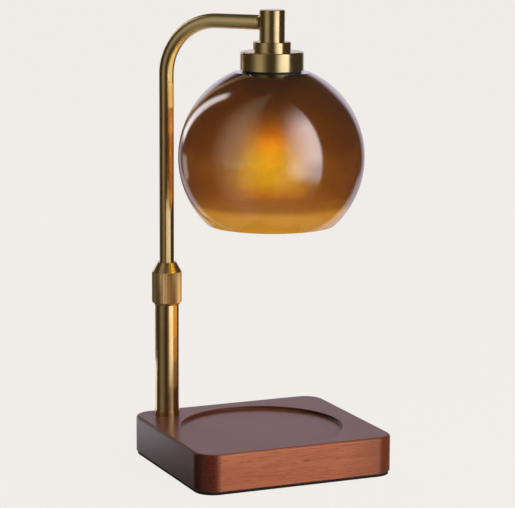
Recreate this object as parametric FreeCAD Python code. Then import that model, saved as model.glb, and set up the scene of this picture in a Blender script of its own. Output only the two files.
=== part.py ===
import FreeCAD, Part
import math
import os
from FreeCAD import Vector

# Candle warmer lamp: a wood base with a round candle seat, a brass column that slides and swings,
# and a glass globe with a heating bulb that hangs over the candle.
# Millimetres, +Z up. The origin is on the table under the middle of the base. +X runs along the
# wide front of the base, and +Y to its back.

# ---- Fits ----
running_gap = 0.05          # radial play of pieces that turn or slide in each other
thread_gap = 0.05           # radial play of threads and of pieces pressed or cemented in
free_gap = 0.3              # space between pieces that pass each other

# ---- Wood base ----
base_width = 150.0
base_depth = 138.5
wood_thickness = 26.6
base_corner = 14.5
top_edge_round = 2.0
bottom_edge_chamfer = 0.6
seat_x = -1.5               # middle of the candle seat
seat_y = -3.5
seat_radius = 58.5
seat_depth = 2.2
seat_floor_round = 1.0
seat_lip_round = 0.5
pad_thickness = 2.0
pad_inset = 1.0

# ---- Hollow under the base ----
side_wall = 9.0
roof_thickness = 10.6
pocket_corner = 16.0
cover_thickness = 1.5
cover_lap = 5.0
cover_corner = 10.0
cover_screw_inset = 6.3
cover_screw_shank = 1.5
cover_screw_head = 2.75
cover_screw_length = 9.0
ballast_width = 96.0
ballast_depth = 80.0
ballast_thickness = 9.0
ballast_front_gap = 7.25    # from the front wall of the hollow
ballast_screw_spacing = 70.0
ballast_screw_shank = 2.0
ballast_screw_head = 4.0
ballast_screw_head_height = 3.0
ballast_screw_bite = 5.5    # how far the screw goes into the wood

# ---- Cord inlet in the back face ----
cord_bore = 3.0
gland_x = 10.0
gland_height = 9.0          # from the underside of the wood
gland_wall = 1.5
gland_flange = 6.5
gland_flange_thickness = 1.5
gland_tail = 5.0            # length inside the hollow
gland_nut_thickness = 3.0

# ---- Terminal block and leads ----
lead_radius = 0.8
lead_spacing = 3.5
lead_bend = 5.0
terminal_length = 20.0
terminal_width = 11.0
terminal_bore = 1.2
terminal_screw_radius = 1.1
terminal_screw_inset = 4.0
terminal_to_column = 22.5   # from the column's axis to the near end of the block
terminal_floor = 3.2        # plastic under the lead holes
lead_grip = 6.0             # how far a lead goes into the block or the lamp holder
lead_end = 4.0              # from a lead's free end in the column to the tube end beside it

# ---- Column foot ----
column_from_left = 22.5     # from the wood's left face to the column's axis
column_from_back = 16.25    # from the wood's back face to the column's axis
lower_tube_radius = 8.7
lower_tube_wall = 1.2
lower_tube_length = 97.6
foot_lip = 0.45
foot_height = 3.8
foot_spigot = 10.6
nipple_radius = 4.95
nipple_wall = 1.5
washer_radius = 9.0
washer_thickness = 1.8
thin_nut_thickness = 3.0
thin_nut_across = 14.0
nipple_short_of_spigot = 1.0

# ---- Sliding joint of the column ----
arm_radius = 5.25
arm_wall = 1.4
bush_length = 12.0
bush_flange_inset = 0.35    # from the lower tube's outside to the flange's edge
bush_flange_thickness = 1.5
collet_wall = 2.45
collet_length = 10.0
collet_straight = 3.0
collet_tip_wall = 1.0
collet_slit = 0.8
collet_base = 2.0
collar_wall = 2.1
collar_skirt = 18.4         # how far the collar reaches down over the lower tube
collar_chamfer = 1.4
collar_chamfer_height = 1.8
knurl_length = 22.3
knurl_depth = 0.35
knurl_count = 60
cone_height = 7.1
cone_lip = 1.6
guide_length = 10.0
guide_to_bush = 33.0        # from the guide's top to the bush at rest, which leaves the way up
clip_thickness = 1.0
clip_groove = 0.5
clip_height = 1.4
arm_tail = 1.2              # tube left below the lower clip

# ---- Swan neck arm ----
arm_rise = 188.9            # from the top of the lower tube to the arm's axis
arm_bend = 39.5
arm_reach = 82.8
arm_shoulder_chamfer = 1.0
arm_spigot_step = 0.5

# ---- Head ----
head_radius = 8.95
head_round = 0.6
head_wall = 2.0
head_above_arm = 9.1
head_below_arm = 13.1
head_roof = 3.0
head_thread = 5.0
lead_turn = 6.0
neck_ring_radius = 13.3
neck_ring_height = 6.8
neck_ring_round = 0.5
cap_radius = 22.35
cap_height = 12.9
cap_round = 1.2
cap_wall = 1.6
cap_roof = 2.0
gasket_thickness = 1.5
gasket_inset = 1.6
sleeve_radius = 17.4
sleeve_wall = 1.3
sleeve_roof = 1.6
sleeve_length = 24.0
bracket_thickness = 1.4
bracket_leg = 1.2
bracket_width = 14.0
head_nut_thickness = 5.0
head_nut_across = 14.0
head_nipple_tail = 0.5

# ---- Glass globe ----
shade_radius = 65.9
shade_wall = 3.0
shade_flat = 26.6           # radius of the flat top that the gasket presses on
shade_mouth = 45.3
shade_flat_round = 1.5
shade_rim_round = 1.3
shade_hole_gap = 0.6
shade_ring_width = 6.0
shade_ring_height = 5.5

# ---- Lamp holder and bulb ----
bulb_length = 50.0
bulb_below_cap = 86.6       # from the cap's rim to the bulb's front
bulb_radius = 25.0
bulb_wall = 1.4
bulb_rim = 6.0
bulb_neck = 9.5
bulb_neck_height = 5.0
bulb_base_height = 17.0
bulb_bulge = 2.6
bulb_apex_gap = 0.3         # round the capsule, where it comes through the reflector
lens_thickness = 1.5
lens_inset = 0.6
capsule_radius = 4.5
capsule_wall = 0.8
capsule_length = 21.0
filament_radius = 0.35
filament_half_width = 2.2
filament_bend = 0.9
pin_circle = 5.0
pin_radius = 1.3
pin_head_radius = 2.5
pin_head_height = 2.2
pin_gap = 0.4
bulb_twist = 40.0           # degrees from locked to free
holder_radius = 13.0
holder_height = 24.0
holder_floor = 3.0
holder_gap = 0.5
holder_cavity = 9.0
holder_cavity_height = 8.0
contact_width = 3.0
contact_length = 4.0
holder_screw_radius = 1.4
holder_screw_length = 4.5
holder_screw_head = 2.6
holder_screw_head_height = 1.2
holder_screw_drop = 6.0

# ---- Places and heights of the base ----
wood_bottom = pad_thickness
wood_top = wood_bottom + wood_thickness
pocket_roof = wood_top - roof_thickness
cover_top = wood_bottom + cover_thickness
pocket_width = base_width - 2 * side_wall
pocket_depth = base_depth - 2 * side_wall
cover_width = pocket_width + 2 * cover_lap
cover_depth = pocket_depth + 2 * cover_lap
ballast_y = (ballast_depth - pocket_depth) / 2 + ballast_front_gap
column_x = column_from_left - base_width / 2
column_y = base_depth / 2 - column_from_back

# ---- Heights of the column ----
foot_top = wood_top + foot_height
spigot_top = foot_top + foot_spigot
tube_top = foot_top + lower_tube_length
collar_bottom = tube_top - collar_skirt
knurl_bottom = collar_bottom + collar_chamfer_height
knurl_top = knurl_bottom + knurl_length
collar_top = knurl_top + cone_height
bush_top = tube_top + bush_flange_thickness
bush_bottom = tube_top - bush_length
collet_top = bush_top + collet_length
guide_top = bush_bottom - guide_to_bush
guide_bottom = guide_top - guide_length
lower_clip_bottom = guide_bottom - free_gap - clip_thickness
upper_clip_bottom = guide_top + free_gap
arm_bottom = lower_clip_bottom - arm_tail
washer_bottom = pocket_roof - washer_thickness
thin_nut_bottom = washer_bottom - thin_nut_thickness
nipple_bottom = thin_nut_bottom
nipple_top = spigot_top - nipple_short_of_spigot
nipple_bore = nipple_radius - nipple_wall
thread_radius = nipple_radius + thread_gap
lower_tube_bore = lower_tube_radius - lower_tube_wall
arm_bore = arm_radius - arm_wall
collar_radius = lower_tube_radius + collar_wall
collet_radius = arm_radius + running_gap + collet_wall
collet_tip_radius = arm_radius + running_gap + collet_tip_wall

# ---- Heights of the head ----
arm_height = tube_top + arm_rise
head_top = arm_height + head_above_arm
head_bottom = arm_height - head_below_arm
cap_top = head_bottom - neck_ring_height
cap_bottom = cap_top - cap_height
sleeve_top = cap_top - cap_roof
sleeve_bottom = sleeve_top - sleeve_length
bracket_top = sleeve_top - sleeve_roof
bracket_under = bracket_top - bracket_thickness
head_nut_bottom = bracket_under - head_nut_thickness
head_nipple_bottom = head_nut_bottom - head_nipple_tail
shade_top = cap_bottom - gasket_thickness
shade_hole = sleeve_radius + shade_hole_gap
shade_ring_top = shade_top - shade_wall
shade_middle = shade_top - math.sqrt(shade_radius**2 - shade_flat**2)
shade_rim = shade_middle - math.sqrt(shade_radius**2 - shade_mouth**2)
bulb_front = cap_bottom - bulb_below_cap
bulb_top = bulb_front + bulb_length
holder_bottom = bulb_top + holder_gap
holder_top = holder_bottom + holder_height
cavity_bottom = holder_bottom + holder_floor
cavity_top = cavity_bottom + holder_cavity_height
pin_head_bottom = cavity_bottom + free_gap
pin_head_top = pin_head_bottom + pin_head_height

# ---- Leads ----
lead_side = lead_spacing / 2
lead_height = nipple_bottom - lead_bend
base_lead_top = nipple_top - lead_end
arm_lead_bottom = arm_bottom - lead_end
terminal_bottom = lead_height - terminal_floor

# The arm points from the column over the middle of the candle seat.
arm_turn = math.degrees(math.atan2(seat_y - column_y, seat_x - column_x))


def disc(radius, bottom, top, x=0.0, y=0.0):
    return Part.makeCylinder(radius, top - bottom, Vector(x, y, bottom))


def tube(outer, inner, bottom, top, x=0.0, y=0.0):
    return disc(outer, bottom, top, x, y).cut(disc(inner, bottom - 1, top + 1, x, y))


def block(width, depth, bottom, top, x=0.0, y=0.0):
    corner = Vector(x - width / 2, y - depth / 2, bottom)
    return Part.makeBox(width, depth, top - bottom, corner)


def rounded_plate(width, depth, corner, bottom, top):
    plate = block(width, depth, bottom, top)
    upright = [edge for edge in plate.Edges if edge.BoundBox.ZLength > (top - bottom) / 2]
    return plate.makeFillet(corner, upright)


def edges_at(shape, height):
    """The edges that lie flat at one height."""
    flat = [edge for edge in shape.Edges if edge.BoundBox.ZLength < 1e-6]
    return [edge for edge in flat if abs(edge.BoundBox.ZMin - height) < 1e-6]


def rims_at(shape, height, radius):
    """The round edges of one radius, centred on the Z axis, at one height."""
    rims = []
    for edge in edges_at(shape, height):
        if isinstance(edge.Curve, Part.Circle) and abs(edge.Curve.Radius - radius) < 1e-4:
            rims.append(edge)
    return rims


def hexagon(across, bottom, top):
    corners = []
    for step in range(7):
        turn = math.radians(60 * step)
        reach = across / math.sqrt(3)
        corners.append(Vector(reach * math.cos(turn), reach * math.sin(turn), bottom))
    return Part.Face(Part.makePolygon(corners)).extrude(Vector(0, 0, top - bottom))


def line(start, end):
    return Part.LineSegment(start, end).toShape()


def arc(start, through, end):
    return Part.Arc(start, through, end).toShape()


def at(radius, height):
    """A point of a turned profile, in the XZ plane."""
    return Vector(radius, 0, height)


def turned(profile):
    """A piece turned about the Z axis, from (radius, height) corners or from profile edges."""
    if isinstance(profile[0], tuple):
        corners = [at(radius, height) for radius, height in profile]
        outline = Part.makePolygon(corners + corners[:1])
    else:
        outline = Part.Wire(profile)
    piece = Part.Face(outline).revolve(Vector(), Vector(0, 0, 1), 360)
    return piece if piece.Volume > 0 else piece.reversed()


def square_bends(corners, radii):
    """A path of straight runs that are joined by quarter-circle bends."""
    edges = []
    start = corners[0]
    for index, radius in enumerate(radii):
        corner, after = corners[index + 1], corners[index + 2]
        incoming = (corner - corners[index]).normalize()
        outgoing = (after - corner).normalize()
        bend_start = corner - incoming * radius
        bend_end = corner + outgoing * radius
        centre = bend_start + outgoing * radius
        middle = centre + (incoming - outgoing) * (radius / math.sqrt(2))
        edges.append(line(start, bend_start))
        edges.append(arc(bend_start, middle, bend_end))
        start = bend_end
    edges.append(line(start, corners[-1]))
    return Part.Wire(edges)


def swept(path, radius):
    first = path.Edges[0]
    along = first.tangentAt(first.FirstParameter)
    ring = Part.makeCircle(radius, first.valueAt(first.FirstParameter), along)
    return path.makePipeShell([Part.Wire(ring)], True, True)


def mirrored_pair(piece):
    """Two like pieces, one on each side of the XZ plane."""
    return [piece, piece.mirror(Vector(), Vector(0, 1, 0))]


def at_column(shape):
    placed = shape.copy()
    placed.translate(Vector(column_x, column_y, 0))
    return placed


def on_arm(shape):
    """From the arm's own frame, where it reaches along +X, to its place on the lamp."""
    placed = shape.copy()
    placed.rotate(Vector(), Vector(0, 0, 1), arm_turn)
    return at_column(placed)


def on_head(shape):
    placed = shape.copy()
    placed.translate(Vector(arm_reach, 0, 0))
    return on_arm(placed)


# ---- Base ----

def seat_cutter():
    """The round candle seat, with a soft floor corner and a soft lip."""
    floor = wood_top - seat_depth
    over = wood_top + seat_depth
    slant = 1 - 1 / math.sqrt(2)
    lip = seat_radius + seat_lip_round
    edges = [
        line(at(0, floor), at(seat_radius - seat_floor_round, floor)),
        arc(
            at(seat_radius - seat_floor_round, floor),
            at(seat_radius - seat_floor_round * slant, floor + seat_floor_round * slant),
            at(seat_radius, floor + seat_floor_round),
        ),
        line(at(seat_radius, floor + seat_floor_round), at(seat_radius, wood_top - seat_lip_round)),
        arc(
            at(seat_radius, wood_top - seat_lip_round),
            at(seat_radius + seat_lip_round * slant, wood_top - seat_lip_round * slant),
            at(lip, wood_top),
        ),
        line(at(lip, wood_top), at(lip, over)),
        line(at(lip, over), at(0, over)),
        line(at(0, over), at(0, floor)),
    ]
    cutter = turned(edges)
    cutter.translate(Vector(seat_x, seat_y, 0))
    return cutter


def cover_screw_places():
    x = cover_width / 2 - cover_screw_inset
    y = cover_depth / 2 - cover_screw_inset
    return [Vector(x, y, 0), Vector(-x, y, 0), Vector(-x, -y, 0), Vector(x, -y, 0)]


def ballast_screw_places():
    x = ballast_screw_spacing / 2
    return [Vector(-x, ballast_y, 0), Vector(x, ballast_y, 0)]


def cover_screw(grow=0.0):
    head_height = cover_screw_head - cover_screw_shank
    shank = cover_screw_shank + grow
    return turned([
        (0, wood_bottom),
        (cover_screw_head + grow, wood_bottom),
        (shank, wood_bottom + head_height),
        (shank, wood_bottom + cover_screw_length - cover_screw_shank),
        (0, wood_bottom + cover_screw_length + grow),
    ])


def ballast_screw(grow=0.0):
    head_bottom_height = pocket_roof - ballast_thickness
    head_top_height = head_bottom_height + ballast_screw_head_height
    tip = pocket_roof + ballast_screw_bite + grow
    return turned([
        (0, head_bottom_height),
        (ballast_screw_head + grow, head_bottom_height),
        (ballast_screw_head + grow, head_top_height),
        (ballast_screw_shank + grow, head_top_height),
        (ballast_screw_shank + grow, tip - ballast_screw_shank),
        (0, tip),
    ])


def copies(piece, places):
    made = []
    for place in places:
        copy = piece.copy()
        copy.translate(place)
        made.append(copy)
    return made


def facing_back(shape):
    """Lays a piece that was turned about Z along +Y, with its mouth in the back face."""
    placed = shape.copy()
    placed.rotate(Vector(), Vector(1, 0, 0), -90)
    placed.translate(Vector(gland_x, base_depth / 2, wood_bottom + gland_height))
    return placed


def gland_outline(grow, bore):
    """The gland's stepped bush. Its mouth is at height 0 and its tail goes down."""
    barrel = cord_bore + gland_wall + grow
    flange = gland_flange + grow
    tail = -(side_wall + gland_tail)
    return turned([
        (bore, tail),
        (barrel, tail),
        (barrel, -gland_flange_thickness),
        (flange, -gland_flange_thickness),
        (flange, 0),
        (bore, 0),
    ])


def base_block():
    wood = rounded_plate(base_width, base_depth, base_corner, wood_bottom, wood_top)
    wood = wood.makeFillet(top_edge_round, edges_at(wood, wood_top))
    wood = wood.makeChamfer(bottom_edge_chamfer, edges_at(wood, wood_bottom))
    pocket = rounded_plate(pocket_width, pocket_depth, pocket_corner, 0, pocket_roof)
    rebate = rounded_plate(
        cover_width + 2 * free_gap, cover_depth + 2 * free_gap, cover_corner + free_gap, 0, cover_top
    )
    stud_hole = at_column(disc(nipple_radius + free_gap, pocket_roof - 1, wood_top + 1))
    washer_well = at_column(disc(washer_radius + free_gap, 0, pocket_roof))
    cutters = [seat_cutter(), pocket, rebate, stud_hole, washer_well]
    cutters.append(facing_back(gland_outline(thread_gap, 0)))
    cutters += copies(cover_screw(thread_gap), cover_screw_places())
    cutters += copies(ballast_screw(thread_gap), ballast_screw_places())
    return wood.cut(cutters)


def base_pad():
    width = base_width - 2 * pad_inset
    depth = base_depth - 2 * pad_inset
    return rounded_plate(width, depth, base_corner - pad_inset, 0, pad_thickness)


def base_cover():
    plate = rounded_plate(cover_width, cover_depth, cover_corner, wood_bottom, cover_top)
    return plate.cut(copies(cover_screw(thread_gap), cover_screw_places()))


def ballast_plate():
    plate = block(
        ballast_width, ballast_depth, pocket_roof - ballast_thickness, pocket_roof, 0, ballast_y
    )
    return plate.cut(copies(ballast_screw(thread_gap), ballast_screw_places()))


def gland_nut():
    barrel = cord_bore + gland_wall + thread_gap
    inner_wall = -side_wall
    return facing_back(tube(gland_flange, barrel, inner_wall - gland_nut_thickness, inner_wall))


# ---- Terminal block and leads in the base ----

def terminal_screw_places():
    near = terminal_to_column + terminal_screw_inset
    far = terminal_to_column + terminal_length - terminal_screw_inset
    sides = (lead_side, -lead_side)
    return [Vector(x, side, 0) for x in (near, far) for side in sides]


def terminal_block():
    middle = terminal_to_column + terminal_length / 2
    body = block(terminal_length, terminal_width, terminal_bottom, pocket_roof, middle)
    channel = Part.makeCylinder(
        terminal_bore,
        terminal_length + 2,
        Vector(terminal_to_column - 1, lead_side, lead_height),
        Vector(1, 0, 0),
    )
    screw_hole = disc(terminal_screw_radius + thread_gap, terminal_bottom - 1, lead_height)
    cutters = mirrored_pair(channel) + copies(screw_hole, terminal_screw_places())
    return at_column(body.cut(cutters))


def terminal_screws():
    screw = disc(terminal_screw_radius, terminal_bottom, lead_height - lead_radius - thread_gap)
    return [at_column(piece) for piece in copies(screw, terminal_screw_places())]


def base_leads():
    corners = [
        Vector(0, lead_side, base_lead_top),
        Vector(0, lead_side, lead_height),
        Vector(terminal_to_column + lead_grip, lead_side, lead_height),
    ]
    lead = swept(square_bends(corners, [lead_bend]), lead_radius)
    return [at_column(piece) for piece in mirrored_pair(lead)]


# ---- Column ----

def foot_ring():
    lip = lower_tube_radius + foot_lip
    spigot = lower_tube_bore - thread_gap
    return at_column(turned([
        (thread_radius, wood_top),
        (lip, wood_top),
        (lip, foot_top),
        (spigot, foot_top),
        (spigot, spigot_top),
        (thread_radius, spigot_top),
    ]))


def lower_tube():
    return at_column(tube(lower_tube_radius, lower_tube_bore, foot_top, tube_top))


def column_nipple():
    return at_column(tube(nipple_radius, nipple_bore, nipple_bottom, nipple_top))


def column_washer():
    return at_column(tube(washer_radius, nipple_radius + free_gap, washer_bottom, pocket_roof))


def column_nut():
    nut = hexagon(thin_nut_across, thin_nut_bottom, washer_bottom)
    return at_column(nut.cut(disc(thread_radius, thin_nut_bottom - 1, washer_bottom + 1)))


def tube_bush():
    bore = arm_radius + running_gap
    body = lower_tube_bore - thread_gap
    flange = lower_tube_radius - bush_flange_inset
    return at_column(turned([
        (bore, bush_bottom),
        (body, bush_bottom),
        (body, tube_top),
        (flange, tube_top),
        (flange, bush_top),
        (bore, bush_top),
    ]))


def clamp_collet():
    bore = arm_radius + running_gap
    ring = turned([
        (bore, bush_top),
        (collet_radius, bush_top),
        (collet_radius, bush_top + collet_straight),
        (collet_tip_radius, collet_top),
        (bore, collet_top),
    ])
    slit = block(4 * collet_radius, collet_slit, bush_top + collet_base, collet_top + 1)
    across = block(collet_slit, 4 * collet_radius, bush_top + collet_base, collet_top + 1)
    return at_column(ring.cut([slit, across]))


def knurled_band():
    corners = []
    for step in range(2 * knurl_count + 1):
        turn = math.pi * step / knurl_count
        radius = collar_radius - knurl_depth * (step % 2)
        corners.append(Vector(radius * math.cos(turn), radius * math.sin(turn), knurl_bottom))
    return Part.Face(Part.makePolygon(corners)).extrude(Vector(0, 0, knurl_length))


def lock_collar():
    core = collar_radius - knurl_depth
    lip = arm_radius + cone_lip
    body = turned([
        (0, collar_bottom),
        (collar_radius - collar_chamfer, collar_bottom),
        (core, knurl_bottom),
        (core, knurl_top),
        (collar_radius, knurl_top),
        (lip, collar_top),
        (0, collar_top),
    ])
    inside = turned([
        (0, collar_bottom - 1),
        (lower_tube_radius + running_gap, collar_bottom - 1),
        (lower_tube_radius + running_gap, bush_top + free_gap),
        (collet_radius + free_gap, bush_top + free_gap),
        (collet_radius + free_gap, bush_top + collet_straight),
        (collet_tip_radius + free_gap, collet_top),
        (arm_radius + free_gap, collet_top + free_gap),
        (arm_radius + free_gap, collar_top + 1),
        (0, collar_top + 1),
    ])
    return at_column(body.fuse(knurled_band()).cut(inside).removeSplitter())


def guide_bush():
    outer = lower_tube_bore - running_gap
    return at_column(tube(outer, arm_radius + running_gap, guide_bottom, guide_top))


def guide_clips():
    inner = arm_radius - clip_groove + thread_gap
    outer = arm_radius + clip_height
    clips = []
    for bottom in (lower_clip_bottom, upper_clip_bottom):
        clips.append(at_column(tube(outer, inner, bottom, bottom + clip_thickness)))
    return clips


# ---- Arm ----

def arm_tube():
    shoulder = arm_reach - head_radius - free_gap
    end = arm_reach - head_radius + head_wall - free_gap
    corners = [Vector(0, 0, arm_bottom), Vector(0, 0, arm_height), Vector(shoulder, 0, arm_height)]
    outside = swept(square_bends(corners, [arm_bend]), arm_radius)
    end_rim = [edge for edge in outside.Edges if edge.BoundBox.XMin > shoulder - 1e-3]
    outside = outside.makeChamfer(arm_shoulder_chamfer, end_rim)
    along = Vector(1, 0, 0)
    start = Vector(shoulder - 1, 0, arm_height)
    spigot = Part.makeCylinder(arm_radius - arm_spigot_step, end - shoulder + 1, start, along)
    corners[0].z = arm_bottom - 1
    corners[2].x = end + 1
    bore = swept(square_bends(corners, [arm_bend]), arm_bore)
    grooves = []
    for bottom in (lower_clip_bottom, upper_clip_bottom):
        ring = tube(arm_radius + 1, arm_radius - clip_groove, bottom, bottom + clip_thickness)
        grooves.append(ring)
    return on_arm(outside.fuse(spigot).cut([bore] + grooves))


def arm_leads():
    corners = [
        Vector(0, lead_side, arm_lead_bottom),
        Vector(0, lead_side, arm_height),
        Vector(arm_reach, lead_side, arm_height),
        Vector(arm_reach, lead_side, holder_top - lead_grip),
    ]
    lead = swept(square_bends(corners, [arm_bend, lead_turn]), lead_radius)
    return [on_arm(piece) for piece in mirrored_pair(lead)]


# ---- Head ----

def head_tube():
    cavity = head_radius - head_wall
    body = turned([
        (thread_radius, head_bottom),
        (head_radius, head_bottom),
        (head_radius, head_top),
        (0, head_top),
        (0, head_top - head_roof),
        (cavity, head_top - head_roof),
        (cavity, head_bottom + head_thread),
        (thread_radius, head_bottom + head_thread),
    ])
    body = body.makeFillet(head_round, rims_at(body, head_top, head_radius))
    side_hole = Part.makeCylinder(
        arm_radius - arm_spigot_step + thread_gap,
        2 * head_radius,
        Vector(-2 * head_radius, 0, arm_height),
        Vector(1, 0, 0),
    )
    return on_head(body.cut(side_hole))


def neck_ring():
    ring = tube(neck_ring_radius, thread_radius, cap_top, head_bottom)
    return on_head(ring.makeFillet(neck_ring_round, rims_at(ring, head_bottom, neck_ring_radius)))


def head_nipple():
    top = head_bottom + head_thread
    return on_head(tube(nipple_radius, nipple_bore, head_nipple_bottom, top))


def socket_cap():
    inner = cap_radius - cap_wall
    cap = turned([
        (thread_radius, sleeve_top),
        (inner, sleeve_top),
        (inner, cap_bottom),
        (cap_radius, cap_bottom),
        (cap_radius, cap_top),
        (thread_radius, cap_top),
    ])
    return on_head(cap.makeFillet(cap_round, rims_at(cap, cap_top, cap_radius)))


def holder_sleeve():
    inner = sleeve_radius - sleeve_wall
    return on_head(turned([
        (thread_radius, bracket_top),
        (inner, bracket_top),
        (inner, sleeve_bottom),
        (sleeve_radius, sleeve_bottom),
        (sleeve_radius, sleeve_top),
        (thread_radius, sleeve_top),
    ]))


def shade_gasket():
    return on_head(tube(cap_radius - gasket_inset, shade_hole, shade_top, cap_bottom))


def shade_ring():
    outer = sleeve_radius + shade_ring_width
    bottom = shade_ring_top - shade_ring_height
    return on_head(tube(outer, sleeve_radius + thread_gap, bottom, shade_ring_top))


def glass_shade():
    inner_radius = shade_radius - shade_wall
    inner_top = shade_top - shade_wall
    inner_flat = math.sqrt(inner_radius**2 - (inner_top - shade_middle) ** 2)
    inner_mouth = math.sqrt(inner_radius**2 - (shade_rim - shade_middle) ** 2)
    edges = [
        line(at(shade_hole, shade_top), at(shade_flat, shade_top)),
        arc(at(shade_flat, shade_top), at(shade_radius, shade_middle), at(shade_mouth, shade_rim)),
        line(at(shade_mouth, shade_rim), at(inner_mouth, shade_rim)),
        arc(at(inner_mouth, shade_rim), at(inner_radius, shade_middle), at(inner_flat, inner_top)),
        line(at(inner_flat, inner_top), at(shade_hole, inner_top)),
        line(at(shade_hole, inner_top), at(shade_hole, shade_top)),
    ]
    globe = turned(edges)
    globe = globe.makeFillet(shade_flat_round, rims_at(globe, shade_top, shade_flat))
    globe = globe.makeFillet(shade_rim_round, rims_at(globe, shade_rim, shade_mouth))
    return on_head(globe)


def holder_bracket():
    outer = 2 * (holder_radius + thread_gap + bracket_leg)
    inner = 2 * (holder_radius + thread_gap)
    foot = holder_top - 2 * holder_screw_drop
    strap = block(outer, bracket_width, foot, bracket_top)
    gap = block(inner, bracket_width + 2, foot - 1, bracket_under)
    hole = disc(thread_radius, bracket_under - 1, bracket_top + 1)
    return on_head(strap.cut([gap, hole] + holder_screw_shapes(thread_gap)))


def head_nut():
    nut = hexagon(head_nut_across, head_nut_bottom, bracket_under)
    return on_head(nut.cut(disc(thread_radius, head_nut_bottom - 1, bracket_under + 1)))


def holder_screw_shapes(grow=0.0):
    """Two screws along X that hold the bracket's legs to the lamp holder."""
    face = holder_radius + thread_gap + bracket_leg
    height = holder_top - holder_screw_drop
    inner_end = Vector(face - holder_screw_length - bracket_leg - grow, 0, height)
    along = Vector(1, 0, 0)
    length = holder_screw_length + bracket_leg + grow
    shank = Part.makeCylinder(holder_screw_radius + grow, length, inner_end, along)
    head_seat = Vector(face, 0, height)
    head = Part.makeCylinder(holder_screw_head + grow, holder_screw_head_height, head_seat, along)
    screw = shank.fuse(head)
    return [screw, screw.mirror(Vector(), Vector(1, 0, 0))]


def pin_slot():
    """The key-shaped slot of one bulb pin: wide where the pin's head goes in, narrow where it locks."""
    bottom = holder_bottom - 1
    top = cavity_bottom + 1
    width = pin_radius + pin_gap
    sector = tube(pin_circle + width, pin_circle - width, bottom, top)
    wedge = Part.makeCylinder(
        2 * pin_circle, top - bottom, Vector(0, 0, bottom), Vector(0, 0, 1), bulb_twist
    )
    track = sector.common(wedge)
    entry = disc(pin_head_radius + pin_gap, bottom, top, pin_circle)
    locked = disc(width, bottom, top, pin_circle)
    locked.rotate(Vector(), Vector(0, 0, 1), bulb_twist)
    slot = track.fuse([locked, entry])
    slot.rotate(Vector(), Vector(0, 0, 1), 90 - bulb_twist)
    return slot


def lamp_holder():
    body = disc(holder_radius, holder_bottom, holder_top)
    cavity = disc(holder_cavity, cavity_bottom, cavity_top)
    slot = pin_slot()
    opposite = slot.copy()
    opposite.rotate(Vector(), Vector(0, 0, 1), 180)
    channel = disc(terminal_bore, holder_top - lead_grip - 1, holder_top + 1, 0, lead_side)
    cutters = [cavity, slot, opposite] + mirrored_pair(channel) + holder_screw_shapes(thread_gap)
    return on_head(body.cut(cutters))


def holder_contacts():
    bottom = pin_head_top + free_gap
    leaf = block(contact_width, contact_length, bottom, cavity_top, 0, pin_circle)
    return [on_head(piece) for piece in mirrored_pair(leaf)]


# ---- Bulb ----

def bulb_base():
    body = disc(bulb_neck, bulb_top - bulb_base_height, bulb_top)
    hole = disc(pin_radius, bulb_top - bulb_base_height / 2, bulb_top + 1, 0, pin_circle)
    return on_head(body.cut(mirrored_pair(hole)))


def bulb_pins():
    pin = disc(pin_radius, bulb_top - bulb_base_height / 2, pin_head_top, 0, pin_circle)
    head = disc(pin_head_radius, pin_head_bottom, pin_head_top, 0, pin_circle)
    return [on_head(piece) for piece in mirrored_pair(pin.fuse(head))]


def bulb_reflector():
    """A glass cup with a neck that is cemented round the base and a hole for the capsule."""
    bore = bulb_neck + thread_gap
    neck = bore + bulb_wall
    neck_bottom = bulb_top - bulb_base_height
    neck_top = neck_bottom + bulb_neck_height
    apex = capsule_radius + bulb_apex_gap
    apex_bottom = neck_bottom - bulb_wall
    mouth = bulb_radius - bulb_wall
    flare_bottom = bulb_front + bulb_rim
    inner_bottom = flare_bottom - bulb_wall
    middle = (neck_bottom + flare_bottom) / 2
    half_way = (neck + bulb_radius) / 2 + bulb_bulge
    edges = [
        line(at(bore, neck_top), at(neck, neck_top)),
        line(at(neck, neck_top), at(neck, neck_bottom)),
        arc(at(neck, neck_bottom), at(half_way, middle), at(bulb_radius, flare_bottom)),
        line(at(bulb_radius, flare_bottom), at(bulb_radius, bulb_front)),
        line(at(bulb_radius, bulb_front), at(mouth, bulb_front)),
        line(at(mouth, bulb_front), at(mouth, inner_bottom)),
        arc(at(mouth, inner_bottom), at(half_way - bulb_wall, middle - bulb_wall), at(bore, apex_bottom)),
        line(at(bore, apex_bottom), at(apex, apex_bottom)),
        line(at(apex, apex_bottom), at(apex, neck_bottom)),
        line(at(apex, neck_bottom), at(bore, neck_bottom)),
        line(at(bore, neck_bottom), at(bore, neck_top)),
    ]
    return on_head(turned(edges))


def bulb_lens():
    bottom = bulb_front + lens_inset
    return on_head(disc(bulb_radius - bulb_wall - thread_gap, bottom, bottom + lens_thickness))


def bulb_capsule():
    top = bulb_top - bulb_base_height
    inner = capsule_radius - capsule_wall
    round_height = top - capsule_length + capsule_radius
    slant = 1 / math.sqrt(2)
    edges = [
        line(at(inner, top), at(capsule_radius, top)),
        line(at(capsule_radius, top), at(capsule_radius, round_height)),
        arc(
            at(capsule_radius, round_height),
            at(capsule_radius * slant, round_height - capsule_radius * slant),
            at(0, round_height - capsule_radius),
        ),
        line(at(0, round_height - capsule_radius), at(0, round_height - inner)),
        arc(
            at(0, round_height - inner),
            at(inner * slant, round_height - inner * slant),
            at(inner, round_height),
        ),
        line(at(inner, round_height), at(inner, top)),
    ]
    return on_head(turned(edges))


def bulb_filament():
    top = bulb_top - bulb_base_height
    bottom = top - capsule_length + 2 * capsule_radius
    side = filament_half_width
    corners = [Vector(0, -side, top), Vector(0, -side, bottom), Vector(0, side, bottom)]
    corners.append(Vector(0, side, top))
    return on_head(swept(square_bends(corners, [filament_bend, filament_bend]), filament_radius))


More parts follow.
